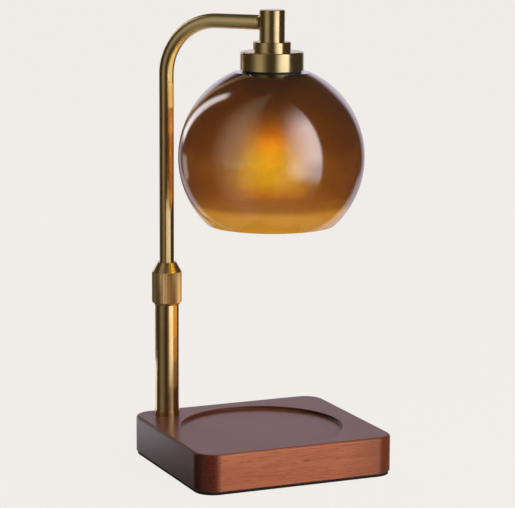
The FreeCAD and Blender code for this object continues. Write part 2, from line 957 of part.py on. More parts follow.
def save(name, pieces):
    pieces = pieces if isinstance(pieces, list) else [pieces]
    solids = [solid for piece in pieces for solid in piece.Solids]
    for solid in solids:
        if not solid.isValid() or solid.Volume <= 0:
            raise ValueError(f"{name} is not a sound solid")
    shape = solids[0] if len(solids) == 1 else Part.makeCompound(solids)
    shape.exportStep(f"parts/{name}.step")
    volume = sum(solid.Volume for solid in solids)
    print(f"{name}: {len(solids)} solid(s), {volume:.1f} mm3")


nodes = {
    "base_block": base_block(),
    "base_pad": base_pad(),
    "base_cover": base_cover(),
    "cover_screws": copies(cover_screw(), cover_screw_places()),
    "ballast_plate": ballast_plate(),
    "ballast_screws": copies(ballast_screw(), ballast_screw_places()),
    "cord_gland": facing_back(gland_outline(0, cord_bore)),
    "gland_nut": gland_nut(),
    "terminal_block": terminal_block(),
    "terminal_screws": terminal_screws(),
    "base_leads": base_leads(),
    "column_nipple": column_nipple(),
    "column_washer": column_washer(),
    "column_nut": column_nut(),
    "foot_ring": foot_ring(),
    "lower_tube": lower_tube(),
    "tube_bush": tube_bush(),
    "clamp_collet": clamp_collet(),
    "lock_collar": lock_collar(),
    "guide_bush": guide_bush(),
    "guide_clips": guide_clips(),
    "arm_tube": arm_tube(),
    "arm_leads": arm_leads(),
    "head_tube": head_tube(),
    "neck_ring": neck_ring(),
    "head_nipple": head_nipple(),
    "socket_cap": socket_cap(),
    "holder_sleeve": holder_sleeve(),
    "holder_bracket": holder_bracket(),
    "head_nut": head_nut(),
    "holder_screws": [on_head(screw) for screw in holder_screw_shapes()],
    "lamp_holder": lamp_holder(),
    "holder_contacts": holder_contacts(),
    "shade_gasket": shade_gasket(),
    "glass_shade": glass_shade(),
    "shade_ring": shade_ring(),
    "bulb_base": bulb_base(),
    "bulb_pins": bulb_pins(),
    "bulb_reflector": bulb_reflector(),
    "bulb_lens": bulb_lens(),
    "bulb_capsule": bulb_capsule(),
    "bulb_filament": bulb_filament(),
}

os.makedirs("parts", exist_ok=True)
for node, pieces in nodes.items():
    save(node, pieces)
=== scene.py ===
import bmesh
import bpy
import math
from mathutils import Matrix, Vector


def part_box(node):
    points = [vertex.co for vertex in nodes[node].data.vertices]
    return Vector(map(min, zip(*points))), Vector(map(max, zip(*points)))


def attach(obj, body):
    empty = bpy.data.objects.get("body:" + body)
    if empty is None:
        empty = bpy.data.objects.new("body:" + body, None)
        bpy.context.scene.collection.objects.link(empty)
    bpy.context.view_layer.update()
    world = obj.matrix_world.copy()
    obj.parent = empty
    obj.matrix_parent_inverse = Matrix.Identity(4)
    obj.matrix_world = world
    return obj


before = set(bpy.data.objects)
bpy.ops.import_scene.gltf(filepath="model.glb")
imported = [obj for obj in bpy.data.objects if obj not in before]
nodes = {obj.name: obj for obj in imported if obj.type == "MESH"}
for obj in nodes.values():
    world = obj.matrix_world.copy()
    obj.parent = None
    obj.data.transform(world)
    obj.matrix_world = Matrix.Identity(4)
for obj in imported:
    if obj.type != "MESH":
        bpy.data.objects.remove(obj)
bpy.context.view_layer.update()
bpy.ops.object.select_all(action="DESELECT")


# ---- Foam pad ----
# A 2 mm sheet of black closed-cell foam, die cut to the outline of the wood and glued under it.
# It keeps the lamp from sliding and shows as a thin black line below the wood.

class Wire:
    """A socket in a shader, so that sums on it read like ordinary sums."""

    def __init__(self, shader, socket):
        self.shader = shader
        self.socket = socket

    def sum(self, operation, first, second=0.0):
        return self.shader.add("Math", {"operation": operation}, {0: first, 1: second})

    def __add__(self, value):
        return self.sum("ADD", self, value)

    def __radd__(self, value):
        return self.sum("ADD", value, self)

    def __sub__(self, value):
        return self.sum("SUBTRACT", self, value)

    def __rsub__(self, value):
        return self.sum("SUBTRACT", value, self)

    def __mul__(self, value):
        return self.sum("MULTIPLY", self, value)

    def __rmul__(self, value):
        return self.sum("MULTIPLY", value, self)

    def __truediv__(self, value):
        return self.sum("DIVIDE", self, value)

    def __pow__(self, value):
        return self.sum("POWER", self, value)

    def __abs__(self):
        return self.sum("ABSOLUTE", self)

    def output(self, name):
        """Another output of the node that this socket belongs to."""
        return Wire(self.shader, self.socket.node.outputs[name])


class Shader:
    """A node tree, with one way to add any node to it."""

    def __init__(self, tree):
        self.tree = tree

    def feed(self, socket, value):
        if isinstance(value, Wire):
            self.tree.links.new(value.socket, socket)
        else:
            socket.default_value = value

    def add(self, kind, settings=None, values=None, take=0):
        """A node of this kind. Its settings come first, then its values or links."""
        node = self.tree.nodes.new("ShaderNode" + kind)
        for name, value in (settings or {}).items():
            setattr(node, name, value)
        for name, value in (values or {}).items():
            self.feed(node.inputs[name], value)
        return Wire(self, node.outputs[take])

    def larger(self, first, second):
        """The larger of two values."""
        return self.add("Math", {"operation": "MAXIMUM"}, {0: first, 1: second})

    def noise(self, place, scale, detail=2.0):
        """Soft random blotches, as many to the metre as the scale says."""
        return self.add("TexNoise", {}, {"Vector": place, "Scale": scale, "Detail": detail})

    def step(self, value, low, high):
        """0 at low and 1 at high, with a smooth change between them."""
        return self.add(
            "MapRange", {"interpolation_type": "SMOOTHSTEP"},
            {"Value": value, "From Min": low, "From Max": high})

    def mix(self, share, first, second):
        """A colour that goes from the first to the second as share goes from 0 to 1."""
        return self.add("Mix", {"data_type": "RGBA"}, {0: share, 6: first, 7: second}, 2)


class Finish(Shader):
    """A material with one Principled shader, which reads places in the lamp's own frame."""

    def __init__(self, name):
        self.material = bpy.data.materials.new(name)
        self.material.use_nodes = True
        super().__init__(self.material.node_tree)
        self.skin = self.tree.nodes["Principled BSDF"]
        self.place = self.add("TexCoord", take="Object")

    def stretched(self, along):
        """The place with each axis multiplied, so that a pattern is long where the number is small."""
        return self.add("Mapping", {}, {"Vector": self.place, "Scale": along})

    def axes(self):
        split = self.add("SeparateXYZ", {}, {"Vector": self.place})
        return split, split.output("Y"), split.output("Z")

    def relief(self, height, depth, strength=1.0):
        """The surface tilted by a height map, where depth is the height of a full step in metres."""
        return self.add("Bump", {}, {"Height": height, "Distance": depth, "Strength": strength})

    def set(self, **values):
        for name, value in values.items():
            self.feed(self.skin.inputs[name.replace("_", " ")], value)

    def dress(self, *names):
        for name in names:
            for slot in nodes[name].material_slots:
                slot.material = self.material


foam_skin = (0.016, 0.016, 0.017, 1)
foam_hollow = (0.006, 0.006, 0.007, 1)
cells_per_metre = 2600.0
cell_depth = 0.00008
foam = Finish("black_foam")
cells = foam.add(
    "TexVoronoi", {"feature": "DISTANCE_TO_EDGE"}, {"Vector": foam.place, "Scale": cells_per_metre})
open_cells = foam.step(cells, 0.02, 0.12)
foam.set(
    Base_Color=foam.mix(open_cells, foam_skin, foam_hollow),
    Roughness=foam.noise(foam.place, 700.0) * 0.2 + 0.68,
    Normal=foam.relief(open_cells, cell_depth, 0.7))
foam.dress("base_pad")


# ---- Wood base ----
# A block of fine-grained hardwood, machined with a round seat for the candle jar, rounded at its
# corners, stained dark walnut and sprayed with satin lacquer. The grain runs along the wide front.

seat = Vector((-0.0015, -0.0035, 0))
seat_radius = 0.0585
wood_low, wood_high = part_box("base_block")
light_stain = (0.410, 0.124, 0.052, 1)
deep_stain = (0.262, 0.070, 0.027, 1)
dash_stain = (0.13, 0.030, 0.014, 1)
shaded_top_pale = (0.205, 0.070, 0.038, 1)
shaded_top_dark = (0.150, 0.048, 0.026, 1)
corner_light = (0.105, 0.016, 0.006, 1)
corner_deep = (0.050, 0.007, 0.003, 1)
darker_right_tone = (0.130, 0.036, 0.014, 1)
seat_wall_shade_colour = (0.018, 0.006, 0.004, 1)
grain_wave = 0.006
pore_depth = 0.00003
walnut = Finish("walnut_stain")
x, y, z = walnut.axes()
slow = walnut.noise(walnut.stretched((9, 40, 40)), 1.0, 2.0)
waves = walnut.add("CombineXYZ", {}, {"Y": slow, "Z": slow})
warped = walnut.add(
    "VectorMath", {"operation": "MULTIPLY_ADD"},
    {0: waves, 1: (0, grain_wave, grain_wave), 2: walnut.place})


def along_grain(scale, detail):
    """A pattern of streaks along the wood's fibres, from slightly wavy places."""
    return walnut.noise(walnut.add("Mapping", {}, {"Vector": warped, "Scale": scale}), 1.0, detail)


figure = along_grain((6, 120, 120), 2.0)
fibre = along_grain((40, 1900, 1900), 3.0)
dashes = walnut.step(along_grain((90, 1500, 1500), 1.0), 0.62, 0.72)
pores = walnut.step(along_grain((240, 3600, 3600), 1.0), 0.58, 0.70)
grain = walnut.step(figure * 0.45 + fibre * 0.55, 0.30, 0.70)
tone = walnut.mix(grain, deep_stain, light_stain)
tone = walnut.mix(dashes * 0.6 + pores * 0.25, tone, dash_stain)

# Painted shade: the top face and the seat's floor take a darker colour than the front and the sides.
top_face = walnut.step(z, wood_high.z - 0.0004, wood_high.z - 0.0001)
from_seat = ((x - seat.x) ** 2.0 + (y - seat.y) ** 2.0) ** 0.5
seat_floor = walnut.step(from_seat, seat_radius, seat_radius - 0.002)
shaded_faces_up = walnut.mix(seat_floor, top_face, (1, 1, 1, 1))
tone = walnut.mix(shaded_faces_up, tone, walnut.mix(walnut.step(fibre, 0.3, 0.7), shaded_top_dark, shaded_top_pale))

end_grain = walnut.step(abs(x), 0.0590, 0.0640)
end_grain = end_grain * walnut.step(z, wood_high.z - 0.0001, wood_high.z - 0.0006)
end_flecks = walnut.step(walnut.noise(walnut.place, 900.0), 0.35, 0.65)
tone = walnut.mix(end_grain * 0.93, tone, walnut.mix(end_flecks, corner_deep, corner_light))
# The block's colour is made darker towards its right end.
tone = walnut.mix(walnut.step(x, 0.030, 0.062) * 0.45, tone, darker_right_tone)

# Painted shade: the wall of the seat is made almost black, as if in shadow.
seat_wall_shade_mask = walnut.step(abs(from_seat - seat_radius), 0.0016, 0.0004)
seat_wall_shade_mask = seat_wall_shade_mask * walnut.step(z, wood_high.z - 0.00005, wood_high.z - 0.0005)
tone = walnut.mix(seat_wall_shade_mask * 0.85, tone, seat_wall_shade_colour)

# Painted shade on the sheen: the coat on the left face is thinned towards its front and its foot.
left_face = walnut.step(x, wood_low.x + 0.0012, wood_low.x + 0.0002)
upper_part = walnut.step(z, 0.004, 0.020)
back_part = walnut.step(y, -0.045, 0.060)
left_sheen_shade = left_face * (0.95 - 0.40 * upper_part - 0.55 * back_part)
walnut.set(
    Base_Color=tone,
    Roughness=0.36 + 0.12 * fibre,
    Specular_IOR_Level=0.22,
    Coat_Weight=(0.40 - 0.15 * pores) * (1 - left_sheen_shade),
    Coat_Roughness=0.20,
    Normal=walnut.relief(fibre * 0.5 - pores * 0.6 - dashes * 0.5, pore_depth, 0.45))
walnut.dress("base_block")


# ---- Plate and weight under the wood ----
# The hollow of the base is closed by a black painted steel plate on four countersunk screws.
# Inside it, an iron weight on two pan head screws keeps the lamp from tipping.

black_paint = (0.022, 0.022, 0.023, 1)
bare_steel = (0.16, 0.155, 0.15, 1)
paint_grain = 0.00003
black_steel = Finish("black_steel")
chips = black_steel.step(black_steel.noise(black_steel.place, 900.0, 5.0), 0.70, 0.74)
black_steel.set(
    Base_Color=black_steel.mix(chips, black_paint, bare_steel),
    Metallic=chips * 0.8,
    Roughness=0.42 + 0.18 * black_steel.noise(black_steel.place, 350.0, 3.0),
    Normal=black_steel.relief(black_steel.noise(black_steel.place, 1800.0), paint_grain, 0.5))
black_steel.dress("base_cover")

raw_iron = (0.13, 0.13, 0.135, 1)
rust_brown = (0.17, 0.085, 0.045, 1)
casting_grain = 0.00012
iron = Finish("ballast_iron")
rust = iron.step(iron.noise(iron.place, 120.0, 5.0), 0.52, 0.70)
iron.set(
    Base_Color=iron.mix(rust, raw_iron, rust_brown),
    Metallic=0.85 - 0.7 * rust,
    Roughness=0.55 + 0.25 * rust,
    Normal=iron.relief(iron.noise(iron.place, 800.0, 4.0), casting_grain, 0.6))
iron.dress("ballast_plate")

blue_zinc = (0.50, 0.51, 0.54, 1)
bright_zinc = (0.66, 0.67, 0.66, 1)
zinc_scratch = 0.00002
zinc = Finish("zinc_steel")
clouds = zinc.noise(zinc.place, 420.0, 3.0)
zinc.set(
    Base_Color=zinc.mix(clouds, blue_zinc, bright_zinc),
    Metallic=1.0,
    Roughness=0.22 + 0.18 * clouds,
    Normal=zinc.relief(zinc.noise(zinc.stretched((1, 1, 6)), 2200.0), zinc_scratch, 0.5))
zinc.dress(
    "cover_screws", "ballast_screws", "terminal_screws", "column_nipple", "column_washer",
    "column_nut", "head_nipple", "head_nut", "holder_bracket", "holder_screws")


# ---- Cord gland and terminal block ----
# The mains cord enters through a moulded bush in the back face, held by a nut inside.
# It is clamped in a two-way terminal block, from where two silicone leads rise in the column.

mould_grain = 0.00002
dark_mould = (0.018, 0.018, 0.019, 1)
dull_mould = (0.032, 0.031, 0.031, 1)
black_plastic = Finish("black_plastic")
black_plastic.set(
    Base_Color=black_plastic.mix(
        black_plastic.noise(black_plastic.place, 260.0, 3.0), dark_mould, dull_mould),
    Roughness=0.42 + 0.16 * black_plastic.noise(black_plastic.place, 900.0, 3.0),
    Normal=black_plastic.relief(black_plastic.noise(black_plastic.place, 5200.0), mould_grain, 0.6))
black_plastic.dress("cord_gland", "gland_nut")

cream = (0.74, 0.73, 0.69, 1)
chalk = (0.82, 0.81, 0.78, 1)
white_plastic = Finish("white_plastic")
white_plastic.set(
    Base_Color=white_plastic.mix(white_plastic.noise(white_plastic.place, 140.0), cream, chalk),
    Roughness=0.38 + 0.14 * white_plastic.noise(white_plastic.place, 700.0),
    Subsurface_Weight=0.12,
    Subsurface_Radius=(0.002, 0.0016, 0.0012),
    Normal=white_plastic.relief(white_plastic.noise(white_plastic.place, 4200.0), mould_grain, 0.5))
white_plastic.dress("terminal_block")

dusty_silicone = (0.70, 0.68, 0.62, 1)
clean_silicone = (0.80, 0.79, 0.74, 1)
dust_depth = 0.00003
silicone = Finish("lead_silicone")
dust = silicone.noise(silicone.place, 800.0, 4.0)
silicone.set(
    Base_Color=silicone.mix(dust, dusty_silicone, clean_silicone),
    Roughness=0.50 + 0.20 * dust,
    Normal=silicone.relief(dust, dust_depth, 0.5))
silicone.dress("base_leads", "arm_leads")


# ---- Column foot and lower tube ----
# A turned brass ring stands on the wood, and the lower tube fits over its spigot. Both are brass,
# brushed round or along with a fine belt, toned a little darker and lacquered.

column = (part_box("lower_tube")[0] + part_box("lower_tube")[1]) / 2
clean_brass = (0.71, 0.515, 0.260, 1)
toned_brass = (0.55, 0.375, 0.170, 1)
brush_depth = 0.000009


def brass(name, lines_from, light=clean_brass, dark=toned_brass):
    """Brushed and lacquered brass. lines_from gives the height map of its brush lines."""
    metal = Finish(name)
    lines = lines_from(metal)
    patina = metal.step(metal.noise(metal.place, 46.0, 4.0), 0.35, 0.75)
    metal.tone = metal.mix(patina * 0.75 + lines * 0.25, light, dark)
    metal.set(
        Base_Color=metal.tone,
        Metallic=1.0,
        Roughness=0.15 + 0.05 * patina + 0.05 * lines,
        Coat_Weight=0.25,
        Coat_Roughness=0.12,
        Normal=metal.relief(lines, brush_depth, 0.4))
    return metal


turned_brass = brass(
    "turned_brass", lambda metal: metal.noise(metal.stretched((25, 25, 5200)), 1.0, 2.0))
turned_brass.dress("foot_ring")

drawn_brass = brass(
    "drawn_brass", lambda metal: metal.noise(metal.stretched((2600, 2600, 16)), 1.0, 2.0))
drawn_brass.dress("lower_tube")


# ---- Bush and collet in the column ----
# A nylon bush in the top of the lower tube guides the arm. The split collet above it is squeezed
# on the arm by the cone of the collar. Both are moulded in natural nylon, as is the arm's lower bush.

nylon_shade = (0.74, 0.72, 0.65, 1)
nylon_light = (0.84, 0.83, 0.78, 1)
nylon = Finish("nylon")
flow = nylon.noise(nylon.stretched((1, 1, 0.3)), 300.0, 3.0)
nylon.set(
    Base_Color=nylon.mix(flow, nylon_shade, nylon_light),
    Roughness=0.36 + 0.14 * flow,
    Subsurface_Weight=0.2,
    Subsurface_Radius=(0.0015, 0.0013, 0.001),
    Normal=nylon.relief(nylon.noise(nylon.place, 3000.0), mould_grain, 0.4))
nylon.dress("tube_bush", "clamp_collet", "guide_bush")

oiled_steel = (0.10, 0.10, 0.11, 1)
dry_steel = (0.22, 0.21, 0.20, 1)
spring_steel = Finish("spring_steel")
oil = spring_steel.noise(spring_steel.place, 500.0, 4.0)
spring_steel.set(
    Base_Color=spring_steel.mix(oil, oiled_steel, dry_steel),
    Metallic=1.0,
    Roughness=0.28 + 0.2 * oil)
spring_steel.dress("guide_clips")


# ---- Lock collar ----
# A turned brass nut with a fine straight knurl and a smooth cone on top. It screws down on the
# lower tube and closes the collet. The grooves of the knurl hold the dark patina.

collar_low, collar_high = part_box("lock_collar")
knurl_radius = 0.0108
knurl_depth = 0.00030
cone_height = 0.0066
worn_brass = (0.57, 0.385, 0.18, 1)
groove_brass = (0.20, 0.13, 0.055, 1)
knurled = brass("knurled_brass", lambda metal: metal.noise(metal.stretched((25, 25, 3800)), 1.0, 2.0))
x, y, z = knurled.axes()
from_axis = ((x - column.x) ** 2.0 + (y - column.y) ** 2.0) ** 0.5
wear = knurled.noise(knurled.stretched((1, 1, 0.25)), 900.0, 3.0)
crest = knurled.step(from_axis + wear * 0.00008, knurl_radius - knurl_depth, knurl_radius + 0.00002)
grip = knurled.step(z, collar_low.z + 0.0010, collar_low.z + 0.0022)
grip = grip * knurled.step(z, collar_high.z - cone_height, collar_high.z - cone_height - 0.0006)
cut = grip * (1 - crest)
knurled.set(
    Base_Color=knurled.mix(cut * 0.8, knurled.mix(grip * 0.35, clean_brass, worn_brass), groove_brass),
    Roughness=0.18 + 0.14 * grip + 0.10 * wear)
knurled.dress("lock_collar")


# ---- Swan-neck arm ----
# A brass tube bent over a former, so that it rises out of the column and reaches over the candle.
# It is brushed lengthwise after bending. Its level part is painted paler, a painted highlight, and is
# rougher.

head_low, head_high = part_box("head_tube")
head = Vector(((head_low.x + head_high.x) / 2, (head_low.y + head_high.y) / 2, head_high.z))
toward_head = Vector((head.x - column.x, head.y - column.y, 0)).normalized()
bend_low = 0.285
bend_high = 0.318
highlight_line = (1.0, 0.80, 0.425, 1)
highlight_gap = (0.87, 0.67, 0.345, 1)


def lines_along_arm(metal):
    """Brush lines that stay parallel to the upright plane in which the arm is bent."""
    x, y, z = metal.axes()
    across = (y - column.y) * toward_head.x - (x - column.x) * toward_head.y
    along = (x - column.x) * toward_head.x + (y - column.y) * toward_head.y
    line = metal.add("CombineXYZ", {}, {"X": across * 3400.0, "Y": along * 20.0, "Z": z * 20.0})
    return metal.noise(line, 1.0, 2.0)


arm_brass = brass("arm_brass", lines_along_arm)
# Painted highlight: the brass above the bend is paler, and rougher.
level_part_highlight = arm_brass.step(arm_brass.axes()[2], bend_low, bend_high)
highlight_brass = arm_brass.mix(lines_along_arm(arm_brass), highlight_line, highlight_gap)
arm_brass.set(
    Base_Color=arm_brass.mix(level_part_highlight, arm_brass.tone, highlight_brass),
    Roughness=0.20 + 0.12 * level_part_highlight)
arm_brass.dress("arm_tube")


# ---- Head ----
# Three turned brass pieces stand on each other over the glass: the tube that the arm enters from
# the side, a ring, and the cap. They are brushed on the lathe, so the lines run round them.

# The head's brass is paler and yellower than the column's, a painted highlight.
head_brass = brass(
    "head_brass", lambda metal: metal.noise(metal.stretched((25, 25, 4600)), 1.0, 2.0),
    (0.83, 0.640, 0.335, 1), (0.68, 0.490, 0.230, 1))
head_brass.dress("head_tube", "neck_ring", "socket_cap")


# ---- Brazed joint ----
# The arm is silver soldered into the side of the head tube. The solder leaves a small hollow
# fillet round the arm, which is brushed and lacquered with the rest.

arm_radius = 0.00525
arm_height = 0.3189
head_radius = 0.00895
solder_run = 0.0022
solder_rise = 0.0011
solder_hollow = 2.2
solder_under = 0.0006
sunk_in_arm = 0.0001
sunk_in_head = 0.0003
across_arm = Vector((-toward_head.y, toward_head.x, 0))
bpy.ops.mesh.primitive_torus_add(major_segments=96, minor_segments=16, major_radius=1.0, minor_radius=0.3)
fillet = bpy.context.object
fillet.name = "arm_fillet"
bpy.ops.object.mode_set(mode="EDIT")
mesh = bmesh.from_edit_mesh(fillet.data)
for point in mesh.verts:
    round_arm = math.atan2(point.co.y, point.co.x)
    round_bead = math.atan2(point.co.z, math.hypot(point.co.x, point.co.y) - 1.0)
    run = (1.0 - math.cos(round_bead)) / 2.0
    spread = solder_rise * (1.0 - run) ** solder_hollow
    if point.co.z < 0:
        spread = -solder_under * math.sin(run * math.pi)
    bead_radius = arm_radius - sunk_in_arm + spread
    sideways = bead_radius * math.cos(round_arm)
    wall = math.sqrt(head_radius ** 2 - sideways ** 2) - sunk_in_head
    point.co = head - toward_head * (wall + solder_run * run) + across_arm * sideways
    point.co.z = arm_height + bead_radius * math.sin(round_arm)
bmesh.ops.recalc_face_normals(mesh, faces=mesh.faces)
bmesh.update_edit_mesh(fillet.data)
bpy.ops.object.mode_set(mode="OBJECT")
bpy.ops.object.shade_smooth()
fillet.data.materials.append(head_brass.material)
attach(fillet, "arm")


# ---- Lamp holder ----
# A threaded brass sleeve hangs in the cap, and a steel strap in it carries the ceramic holder.
# The holder has two brass contacts, into which the bulb's pins are twisted.

sleeve_brass = brass(
    "sleeve_brass", lambda metal: metal.noise(metal.stretched((10, 10, 950)), 1.0, 1.0),
    (0.60, 0.45, 0.22, 1), (0.42, 0.30, 0.13, 1))
sleeve_brass.dress("holder_sleeve", "shade_ring")

contact_light = (0.72, 0.55, 0.26, 1)
contact_tarnish = (0.55, 0.36, 0.16, 1)
contact_brass = Finish("contact_brass")
contact_brass.set(
    Base_Color=contact_brass.mix(
        contact_brass.noise(contact_brass.place, 900.0, 3.0), contact_light, contact_tarnish),
    Metallic=1.0,
    Roughness=0.25 + 0.15 * contact_brass.noise(contact_brass.place, 2000.0))
contact_brass.dress("holder_contacts")

fired_cream = (0.80, 0.77, 0.70, 1)
iron_speck = (0.58, 0.53, 0.45, 1)
fired_grain = 0.00004


def steatite(name):
    """Unglazed fired ceramic with fine specks."""
    ceramic = Finish(name)
    speck = ceramic.step(ceramic.noise(ceramic.place, 1500.0, 3.0), 0.66, 0.74)
    ceramic.set(
        Base_Color=ceramic.mix(speck, fired_cream, iron_speck),
        Roughness=0.55 + 0.2 * ceramic.noise(ceramic.place, 300.0, 3.0),
        Normal=ceramic.relief(ceramic.noise(ceramic.place, 2200.0, 4.0), fired_grain, 0.5))
    return ceramic


steatite("steatite").dress("lamp_holder")


# ---- Gasket ----
# A black silicone ring that lies between the brass cap and the flat top of the glass.
# It is pressed by the ring nut inside, and only its edge shows.

rubber_black = (0.010, 0.010, 0.011, 1)
rubber_bloom = (0.022, 0.021, 0.021, 1)
rubber_grain = 0.00003
rubber = Finish("black_rubber")
bloom = rubber.noise(rubber.place, 500.0, 4.0)
rubber.set(
    Base_Color=rubber.mix(bloom, rubber_black, rubber_bloom),
    Roughness=0.45 + 0.2 * bloom,
    Normal=rubber.relief(rubber.noise(rubber.place, 2600.0), rubber_grain, 0.5))
rubber.dress("shade_gasket")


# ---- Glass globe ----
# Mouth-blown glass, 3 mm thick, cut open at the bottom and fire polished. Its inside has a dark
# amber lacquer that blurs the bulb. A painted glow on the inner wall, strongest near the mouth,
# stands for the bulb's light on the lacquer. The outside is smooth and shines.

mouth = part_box("glass_shade")[0].z
globe = Vector((head.x, head.y, 0.2243))
lacquer_outer = 0.0650
lacquer_inner = 0.0636
bulb_middle = 0.219
amber_light = (0.42, 0.170, 0.024, 1)
amber_deep = (0.34, 0.122, 0.012, 1)
unlit = (0.0, 0.0, 0.0, 1)
wall_glow = (0.065, 0.012, 0.0, 1)
mouth_glow = (0.90, 0.74, 0.14, 1)
blown_wave = 0.0006
amber = Finish("amber_glass")
z = amber.axes()[2]
from_middle = amber.add("VectorMath", {"operation": "DISTANCE"}, {0: amber.place, 1: globe}, "Value")
inside = amber.step(from_middle, lacquer_outer, lacquer_inner)
mottle = amber.noise(amber.place, 38.0, 3.0)
spray_grain = amber.step(amber.noise(amber.place, 2600.0, 1.0), 0.46, 0.54)
sprayed = amber.step(z, mouth + 0.008, mouth + 0.048)
# Painted light: the inner wall glows faintly beside the bulb and strongly just above the mouth.
lit_wall = amber.step(abs(z - bulb_middle), 0.042, 0.008) * inside
lit_above_mouth = amber.step(z, mouth + 0.030, mouth + 0.012) * 0.10
lit_mouth = (lit_above_mouth + amber.step(z, mouth + 0.019, mouth + 0.012) * 0.62) * inside
amber.set(
    Base_Color=amber.mix(mottle, amber_light, amber_deep),
    Roughness=0.03 + inside * (0.15 + sprayed * (0.26 + 0.44 * spray_grain)),
    Transmission_Weight=1.0,
    IOR=1.5,
    Coat_Weight=1.0,
    Coat_IOR=2.4,
    Coat_Roughness=0.09,
    Emission_Color=amber.mix(lit_mouth, amber.mix(lit_wall, unlit, wall_glow), mouth_glow),
    Emission_Strength=1.0,
    Normal=amber.relief(amber.noise(amber.place, 26.0, 1.0), blown_wave, 0.25))
amber.dress("glass_shade")


# ---- Bulb ----
# A twist-lock halogen bulb: a pressed glass reflector with a thin mirror coat that lets some light
# through, a front glass tinted warm, a quartz capsule with the filament, and two pins in ceramic.

front_tint = (0.56, 0.24, 0.12, 1)
front_tint_thin = (0.60, 0.27, 0.14, 1)
front_glass = Finish("clear_glass")
front_glass.set(
    Base_Color=front_glass.mix(front_glass.noise(front_glass.place, 300.0), front_tint, front_tint_thin),
    Roughness=0.04,
    Transmission_Weight=1.0,
    IOR=1.46)
front_glass.dress("bulb_lens")

capsule_low, capsule_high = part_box("bulb_capsule")
cool_quartz = (0.9, 0.55, 0.25, 1)
hot_quartz = (1.0, 0.85, 0.5, 1)
cool_glow = (1.0, 0.85, 0.15, 1)
hot_glow = (0.64, 1.34, 0.30, 1)
quartz = Finish("lit_quartz")
hot = quartz.step(quartz.axes()[2], capsule_high.z, capsule_low.z + 0.006)
quartz.set(
    Base_Color=quartz.mix(hot, cool_quartz, hot_quartz),
    Roughness=0.3,
    Emission_Color=quartz.mix(hot, cool_glow, hot_glow),
    Emission_Strength=3.8)
quartz.dress("bulb_capsule")

pin_shade = (0.62, 0.62, 0.60, 1)
pin_light = (0.74, 0.73, 0.71, 1)
pin_metal = Finish("pin_metal")
pin_metal.set(
    Base_Color=pin_metal.mix(pin_metal.noise(pin_metal.place, 1200.0, 3.0), pin_shade, pin_light),
    Metallic=1.0,
    Roughness=0.30 + 0.1 * pin_metal.noise(pin_metal.place, 2500.0))
pin_metal.dress("bulb_pins")

wire_shade = (0.20, 0.19, 0.18, 1)
wire_light = (0.32, 0.30, 0.28, 1)
tungsten = Finish("tungsten")
tungsten.set(
    Base_Color=tungsten.mix(tungsten.noise(tungsten.place, 4000.0), wire_shade, wire_light),
    Metallic=1.0,
    Roughness=0.45,
    Emission_Color=(1.0, 0.62, 0.22, 1),
    Emission_Strength=8.0)
tungsten.dress("bulb_filament")

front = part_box("bulb_reflector")[0].z
mirror_light = (1.0, 0.86, 0.45, 1)
mirror_deep = (0.95, 0.76, 0.35, 1)
bowl_glow = (0.74, 1.42, 0.30, 1)
neck_glow = (1.50, 0.80, 0.10, 1)
skirt_glow = (0.30, 0.22, 0.03, 1)
painted_glint_colour = (7.0, 4.5, 0.8, 1)
reflector = Finish("mirror_coated_glass")
z = reflector.axes()[2]
facet = reflector.add(
    "TexVoronoi", {"feature": "DISTANCE_TO_EDGE"}, {"Vector": reflector.place, "Scale": 260.0})
# Painted glints: small bright spots of emission near the reflector's front rim.
painted_glints = reflector.step(reflector.noise(reflector.place, 900.0, 1.0), 0.66, 0.72)
painted_glints = painted_glints * reflector.step(z, front + 0.004, front + 0.001)
neck = reflector.step(z, front + 0.030, front + 0.040)
skirt = reflector.step(z, front + 0.017, front + 0.001)
shine = reflector.mix(neck, bowl_glow, neck_glow)
shine = reflector.mix(skirt, shine, skirt_glow)
shine = reflector.mix(painted_glints, shine, painted_glint_colour)
reflector.set(
    Base_Color=reflector.mix(reflector.noise(reflector.place, 500.0), mirror_light, mirror_deep),
    Roughness=0.42 + 0.2 * reflector.step(facet, 0.0, 0.1),
    Transmission_Weight=0.85,
    Emission_Color=shine,
    Emission_Strength=1.0)
reflector.dress("bulb_reflector")

# Painted light: the ceramic base glows, most where it meets the reflector's neck.
base_low, base_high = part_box("bulb_base")
warm_glow = (0.35, 0.05, 0.01, 1)
seam_glow = (2.1, 0.75, 0.06, 1)
lit_ceramic = steatite("lit_steatite")
neck_light_share = lit_ceramic.step(lit_ceramic.axes()[2], base_high.z, base_low.z)
lit_ceramic.set(Emission_Color=lit_ceramic.mix(neck_light_share, warm_glow, seam_glow), Emission_Strength=1.0)
lit_ceramic.dress("bulb_base")


# ---- Table top ----
# The lamp stands on a plain pale surface that runs into a backdrop of the same colour.
# It keeps a faint shadow of the lamp.

pale = (0.880, 0.847, 0.815, 1)
pale_glow = (0.888, 0.855, 0.823, 1)
just_below = -0.0001
glow_share = 0.97
bpy.ops.mesh.primitive_plane_add(size=30.0, location=(0, 0, just_below))
table = bpy.context.object
table.name = "table_top"
cloth = Finish("pale_table")
ways = cloth.add("LightPath")
seen = cloth.larger(cloth.larger(ways, ways.output("Is Glossy Ray")), ways.output("Is Transmission Ray"))
glow = cloth.add("Emission", {}, {"Color": pale_glow})
cloth.set(Base_Color=pale, Roughness=0.9, Specular_IOR_Level=0.1)
both = cloth.add("MixShader", {}, {0: seen * glow_share, 1: Wire(cloth, cloth.skin.outputs[0]), 2: glow})
cloth.feed(cloth.tree.nodes["Material Output"].inputs["Surface"], both)
table.data.materials.append(cloth.material)
table.visible_glossy = False


# ---- Camera ----
# It stands in front of the lamp, a little to the left of the middle of the base and above it.
# A long lens keeps the upright lines nearly parallel.

